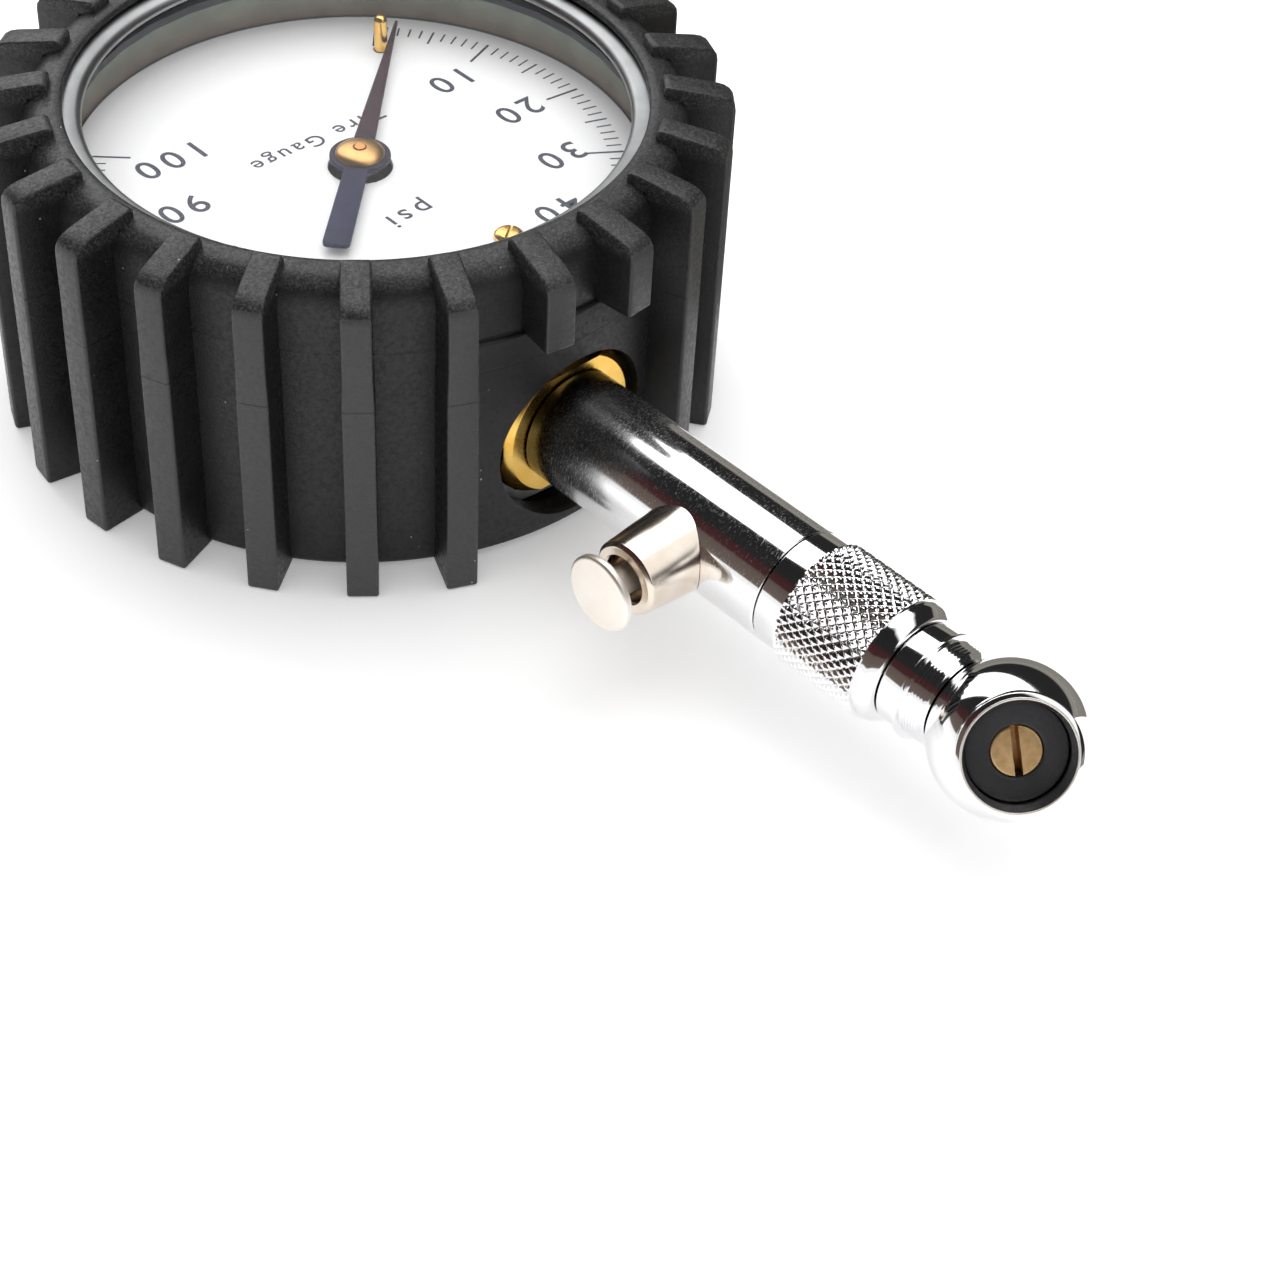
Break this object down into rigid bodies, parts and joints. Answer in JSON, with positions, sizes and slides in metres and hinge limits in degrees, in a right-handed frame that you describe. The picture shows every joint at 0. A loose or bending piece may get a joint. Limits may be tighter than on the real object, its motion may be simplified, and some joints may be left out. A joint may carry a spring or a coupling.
{
  "type": "tire pressure gauge",
  "caption": "Dial tire pressure gauge in a ribbed rubber boot, with a short stem, a bleeder button and a swivelling ball chuck that presses onto a tire valve.",
  "frame": {"origin": "centre of the boot's back, on the surface that the gauge rests on", "axes": "+Z out of the dial, +Y along the stem towards the chuck (12 o'clock on the dial), +X completes the right-handed frame (3 o'clock)"},
  "size_m": [0.08, 0.1436, 0.0373],
  "materials": {
    "boot_rubber": "matte black rubber, mid-grey sheen on the rib faces",
    "seal_rubber": "smooth black rubber",
    "chrome": "polished chrome with fine scratches",
    "nickel": "warm satin nickel",
    "brass": "machined brass",
    "case_steel": "satin steel",
    "spring_steel": "drawn steel",
    "dial_white": "white printed dial",
    "needle_black": "blue-black lacquer",
    "lens_clear": "clear"
  },
  "bodies": {
    "gauge": {"rubber_boot": "boot_rubber", "gauge_case": "case_steel", "bezel_ring": "case_steel", "lens": "lens_clear", "lens_gasket": "seal_rubber", "dial_spacer": "case_steel", "dial_plate": "dial_white", "dial_post_left": "brass", "dial_post_right": "brass", "dial_screw_left": "brass", "dial_screw_right": "brass", "zero_pin": "brass", "bourdon_tube": "brass", "hairspring": "spring_steel", "hairspring_stud": "brass", "movement_base": "brass", "movement_top": "brass", "pillar_upper": "brass", "pillar_lower": "brass", "pillar_screw_upper": "spring_steel", "pillar_screw_lower": "spring_steel", "base_screw_upper": "spring_steel", "base_screw_lower": "spring_steel", "case_screw_left": "spring_steel", "case_screw_right": "spring_steel", "socket_block": "brass", "stem_barrel": "chrome", "bleeder_sleeve": "nickel", "bleeder_spring": "spring_steel", "knurled_nut": "chrome", "nut_seal": "seal_rubber", "check_spring": "spring_steel", "retaining_ring": "spring_steel"},
    "pointer": {"needle": "needle_black", "needle_cap": "brass", "needle_collet": "nickel", "pinion_arbor": "brass"},
    "sector": {"sector_gear": "brass", "sector_arbor": "spring_steel", "tail_pin": "spring_steel"},
    "link": {"link_bar": "brass"},
    "tube_tip": {"tip_block": "brass", "tip_pin": "spring_steel"},
    "button": {"bleeder_button": "nickel", "bleeder_seal": "seal_rubber"},
    "poppet": {"check_poppet": "seal_rubber"},
    "chuck": {"chuck_shank": "chrome", "shank_seal": "seal_rubber", "chuck_ball": "chrome", "chuck_seal": "seal_rubber", "chuck_core": "brass"}
  },
  "joints": [
    {"name": "sector_turn", "type": "hinge", "parent": "gauge", "child": "sector", "pos_m": [-0.0135, 0, 0.016], "axis": [0, 0, 1], "range_deg": [0, 33], "stiffness_Nm_per_rad": 0.004, "springref_deg": -2.86},
    {"name": "pointer_spin", "type": "hinge", "parent": "gauge", "child": "pointer", "pos_m": [0, 0, 0.016], "axis": [0, 0, -1], "range_deg": [0, 264], "deforming": ["hairspring"]},
    {"name": "link_swing", "type": "hinge", "parent": "sector", "child": "link", "pos_m": [-0.01925, 0.0017, 0.0147], "axis": [0, 0, 1], "range_deg": [-33, 0]},
    {"name": "tip_flex", "type": "slide", "parent": "gauge", "child": "tube_tip", "axis": [0, -1, 0], "range_m": [0, 0.00341], "deforming": ["bourdon_tube"]},
    {"name": "bleeder_press", "type": "slide", "parent": "gauge", "child": "button", "axis": [-1, 0, 0], "range_m": [0, 0.0015], "stiffness_N_per_m": 900, "springref_m": -0.001, "deforming": ["bleeder_spring"]},
    {"name": "check_lift", "type": "slide", "parent": "gauge", "child": "poppet", "axis": [0, -1, 0], "range_m": [0, 0.0012], "stiffness_N_per_m": 200, "springref_m": -0.001, "deforming": ["check_spring"]},
    {"name": "chuck_swivel", "type": "hinge", "parent": "gauge", "child": "chuck", "pos_m": [0, 0.0795, 0.0124], "axis": [0, 1, 0], "continuous": true}
  ],
  "couplings": [
    {"joint": "pointer_spin", "follows": "sector_turn", "ratio": 8},
    {"joint": "link_swing", "follows": "sector_turn", "ratio": -1},
    {"joint": "tip_flex", "follows": "sector_turn", "m_per_rad": 0.0059173}
  ]
}
